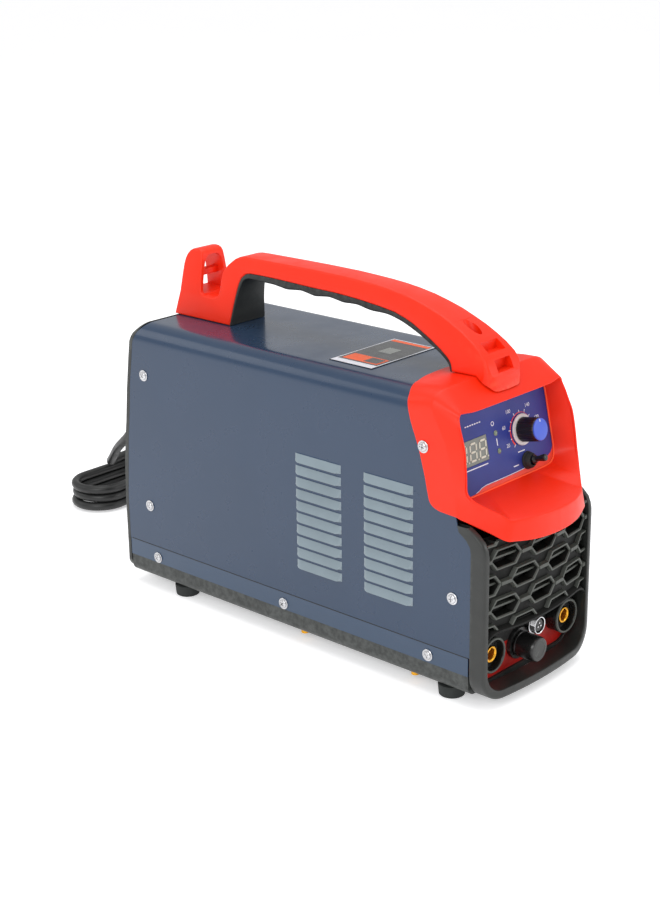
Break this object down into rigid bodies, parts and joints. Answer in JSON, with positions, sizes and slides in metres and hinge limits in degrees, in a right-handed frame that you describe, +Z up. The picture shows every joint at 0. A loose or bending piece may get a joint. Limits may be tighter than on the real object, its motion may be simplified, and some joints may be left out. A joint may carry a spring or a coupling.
{
  "type": "tig welder",
  "caption": "Portable inverter TIG welding machine with a folded sheet cover, red moulded hood and carrying handle, honeycomb front grille, welding sockets, gas outlet and mains lead.",
  "frame": {"origin": "on the floor under the middle of the machine, measured without its mains lead", "axes": "+Z up, -Y to the control panel and sockets, +Y to the rear panel, +X to the right as seen from behind"},
  "size_m": [0.2931, 0.6818, 0.3308],
  "materials": {
    "cover_paint": "satin slate-blue powder coat",
    "tray_plastic": "fine-grained black moulding",
    "foot_rubber": "matt",
    "zinc_steel": "bright zinc plate",
    "brass": "turned",
    "bezel_plastic": "fine-grained black moulding",
    "red_plate": "red paint",
    "socket_plastic": "moulded",
    "chrome": "polished",
    "red_plastic": "satin red-orange moulding",
    "grey_metal": "rolled",
    "overlay": "printed blue polycarbonate",
    "display_black": "moulded",
    "display_window": "grey tinted window",
    "led_lens": "clear green lens",
    "knob_black": "moulded",
    "knob_white": "moulded",
    "knob_blue": "moulded",
    "grip_rubber": "soft-touch",
    "label_print": "printed film",
    "fan_plastic": "moulded",
    "rocker_red": "moulded",
    "pcb": "solder mask",
    "heatsink_alu": "extruded",
    "capacitor_sleeve": "shrink sleeve",
    "module_black": "moulded",
    "ferrite": "ferrite core",
    "copper": "enamelled copper",
    "cord_jacket": "satin jacket"
  },
  "bodies": {
    "case": {"cover": "cover_paint", "base_pan": "cover_paint", "base_tray": "tray_plastic", "feet": "foot_rubber", "foot_screws": "zinc_steel", "base_screws": "brass", "side_screws": "zinc_steel", "front_bezel": "bezel_plastic", "front_grille": "bezel_plastic", "socket_plate": "red_plate", "socket_collars": "socket_plastic", "socket_insert_left": "brass", "socket_insert_right": "brass", "gas_outlet": "socket_plastic", "torch_socket": "chrome", "hood": "red_plastic", "hood_screws": "zinc_steel", "control_plate": "grey_metal", "panel_overlay": "overlay", "display_module": "display_black", "display_lens": "display_window", "indicator_leds": "led_lens", "potentiometer": "grey_metal", "toggle_body": "knob_black", "control_board": "pcb", "handle_shell": "red_plastic", "handle_grip": "grip_rubber", "handle_screws": "zinc_steel", "label_plate": "label_print", "rear_panel": "bezel_plastic", "fan_frame": "fan_plastic", "fan_guard": "zinc_steel", "switch_housing": "socket_plastic", "cable_gland": "socket_plastic", "strain_relief": "cord_jacket", "gas_inlet": "brass", "earth_stud": "brass", "inner_frame": "grey_metal", "heatsinks": "heatsink_alu", "power_board": "pcb", "capacitors": "capacitor_sleeve", "power_modules": "module_black", "main_transformer": "ferrite", "output_choke": "copper", "igniter_coil": "module_black", "gas_valve": "grey_metal", "gas_hose": "cord_jacket", "busbars": "copper", "mains_cord": "cord_jacket", "cord_hank": "cord_jacket", "cord_tie": "cord_jacket", "mains_plug": "cord_jacket"},
    "current_knob": {"knob_shaft": "grey_metal", "knob_skirt": "knob_white", "current_knob": "knob_black", "knob_cap": "knob_blue"},
    "toggle_lever": {"toggle_lever": "knob_black"},
    "power_rocker": {"switch_rocker": "rocker_red"},
    "fan_rotor": {"fan_rotor": "fan_plastic"},
    "gas_outlet_cap": {"gas_outlet_cap": "socket_plastic"}
  },
  "joints": [
    {"name": "current_knob_turn", "type": "hinge", "parent": "case", "child": "current_knob", "pos_m": [0.026, -0.18801, 0.21753], "axis": [0, -0.9781, 0.2079], "range_deg": [-150, 150]},
    {"name": "mode_toggle_flip", "type": "hinge", "parent": "case", "child": "toggle_lever", "pos_m": [0.028, -0.18538, 0.18906], "axis": [1, 0, 0], "range_deg": [0, 16]},
    {"name": "power_switch_rock", "type": "hinge", "parent": "case", "child": "power_rocker", "pos_m": [0, 0.20215, 0.208], "axis": [1, 0, 0], "range_deg": [-12, 0]},
    {"name": "fan_spin", "type": "hinge", "parent": "case", "child": "fan_rotor", "pos_m": [-0.012, 0.1935, 0.092], "axis": [0, 1, 0], "continuous": true},
    {"name": "gas_cap_pull", "type": "slide", "parent": "case", "child": "gas_outlet_cap", "axis": [0, -1, 0], "range_m": [0, 0.03]}
  ]
}
